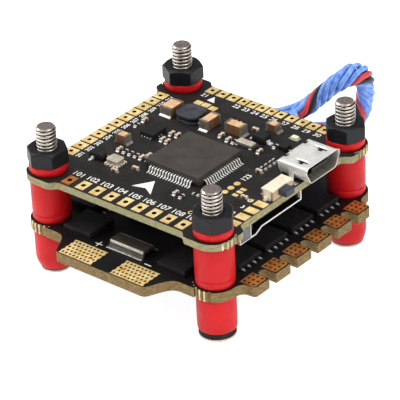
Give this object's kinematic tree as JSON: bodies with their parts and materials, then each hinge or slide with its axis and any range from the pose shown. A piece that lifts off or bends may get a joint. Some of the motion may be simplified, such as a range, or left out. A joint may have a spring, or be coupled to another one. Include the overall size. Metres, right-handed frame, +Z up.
{
  "type": "flight controller board",
  "caption": "Drone flight controller board stacked over a motor speed controller board on silicone dampers, joined by a short wire harness.",
  "frame": {"origin": "centre of the 30.5 mm screw square, level with the undersides of the four screw heads", "axes": "+Y towards the aircraft's nose (the arrow on the upper board), +X towards the side with the USB socket, +Z up along the screws"},
  "size_m": [0.042, 0.0553, 0.0235],
  "materials": {
    "fc_mask": "charcoal grey solder mask over copper traces, satin",
    "esc_mask": "near-black solder mask, satin",
    "epoxy": "black moulded epoxy, fine matt grain",
    "stainless": "turned stainless steel with fine machining marks",
    "tinned": "tin-plated stamped sheet, softly bright",
    "black_nylon": "moulded black nylon, satin",
    "red_silicone": "cast red silicone, satin",
    "ceramic": "tan fired ceramic with tinned ends",
    "ferrite": "sintered dark grey ferrite",
    "cream_plastic": "cream moulded switch body",
    "slate_plastic": "blue-grey moulded plunger",
    "white_plastic": "off-white moulded nylon",
    "silicone_wire": "eight silicone-covered wires, six blue, one red, one black",
    "shunt_alloy": "brown resistor alloy with silver ends",
    "spring_steel": "thin spring steel"
  },
  "bodies": {
    "stack": {"fc_board": "fc_mask", "esc_board": "esc_mask", "screw_rear_left": "stainless", "nut_rear_left": "black_nylon", "damper_lower_rear_left": "red_silicone", "damper_upper_rear_left": "red_silicone", "screw_rear_right": "stainless", "nut_rear_right": "black_nylon", "damper_lower_rear_right": "red_silicone", "damper_upper_rear_right": "red_silicone", "screw_front_right": "stainless", "nut_front_right": "black_nylon", "damper_lower_front_right": "red_silicone", "damper_upper_front_right": "red_silicone", "screw_front_left": "stainless", "nut_front_left": "black_nylon", "damper_lower_front_left": "red_silicone", "damper_upper_front_left": "red_silicone", "processor": "epoxy", "gyro": "epoxy", "rear_transistor": "epoxy", "front_diode": "epoxy", "usb_tongue": "epoxy", "card_housing": "epoxy", "gate_driver_right": "epoxy", "gate_driver_left": "epoxy", "barometer": "tinned", "crystal": "tinned", "usb_shell": "tinned", "card_shell": "tinned", "capacitor_inlet": "ceramic", "capacitor_regulator": "ceramic", "capacitor_output": "ceramic", "capacitor_left": "ceramic", "capacitor_front": "ceramic", "inductor": "ferrite", "status_led": "cream_plastic", "button_housing": "cream_plastic", "button_cover": "cream_plastic", "button_click_leaf": "spring_steel", "fc_socket": "white_plastic", "fc_plug": "white_plastic", "esc_socket": "white_plastic", "esc_plug": "white_plastic", "harness": "silicone_wire", "transistor_right_1": "epoxy", "transistor_right_2": "epoxy", "transistor_right_3": "epoxy", "transistor_right_4": "epoxy", "transistor_left_1": "epoxy", "transistor_left_2": "epoxy", "transistor_left_3": "epoxy", "transistor_left_4": "epoxy", "esc_processor_1": "epoxy", "esc_processor_2": "epoxy", "esc_processor_3": "epoxy", "esc_processor_4": "epoxy", "current_shunt": "shunt_alloy"},
    "boot_button": {"button_plunger": "slate_plastic"},
    "card_ejector": {"card_slider": "slate_plastic"}
  },
  "joints": [
    {"name": "boot_button_press", "type": "slide", "parent": "stack", "child": "boot_button", "axis": [-1, 0, 0], "range_m": [0, 0.00025], "stiffness_N_per_m": 600},
    {"name": "card_ejector_slide", "type": "slide", "parent": "stack", "child": "card_ejector", "axis": [-1, 0, 0], "range_m": [0, 0.0025], "stiffness_N_per_m": 100}
  ]
}
